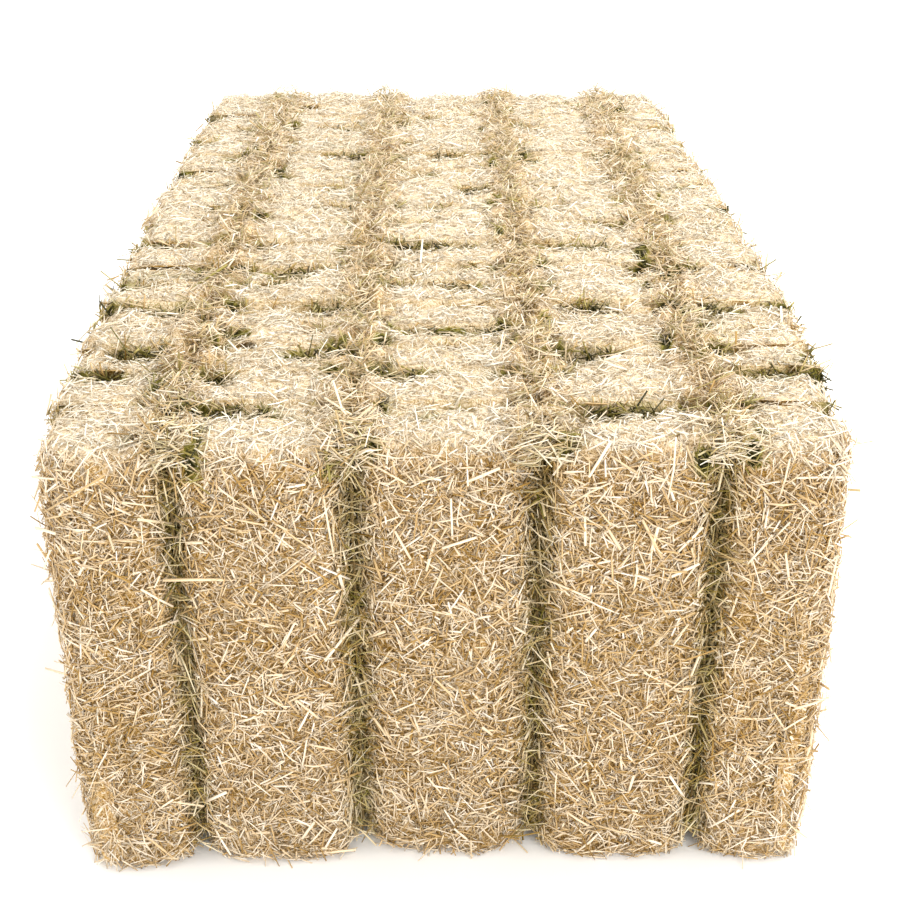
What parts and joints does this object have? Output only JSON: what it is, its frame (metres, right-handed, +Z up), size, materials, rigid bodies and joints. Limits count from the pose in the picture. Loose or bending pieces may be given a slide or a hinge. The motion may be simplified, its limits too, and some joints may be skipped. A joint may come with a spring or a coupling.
{
  "type": "square straw bale",
  "caption": "Large square straw bale of compressed flakes, held by twines that run lengthwise round it and pull its ends into soft lobes; rests on its flat underside.",
  "frame": {"origin": "on the ground under the middle of the bale", "axes": "+Y along the bale from the pictured end to the hidden one, +X to the right seen from the pictured end, +Z up"},
  "size_m": [0.8197, 1.4075, 0.5392],
  "materials": {
    "straw": "dry cereal straw, pale gold to tan, matt with a faint waxy sheen on the stems, olive where it is packed deep",
    "twine": "twisted baler twine, weathered straw brown, matt"
  },
  "bodies": {
    "root": {"flake_01": "straw", "flake_02": "straw", "flake_03": "straw", "flake_04": "straw", "flake_05": "straw", "flake_06": "straw", "flake_07": "straw", "flake_08": "straw", "flake_09": "straw", "flake_10": "straw", "flake_11": "straw", "flake_12": "straw", "flake_13": "straw", "flake_14": "straw", "flake_15": "straw", "flake_16": "straw", "flake_17": "straw", "flake_18": "straw", "twine_1": "twine", "twine_2": "twine", "twine_3": "twine", "twine_4": "twine"}
  },
  "joints": []
}
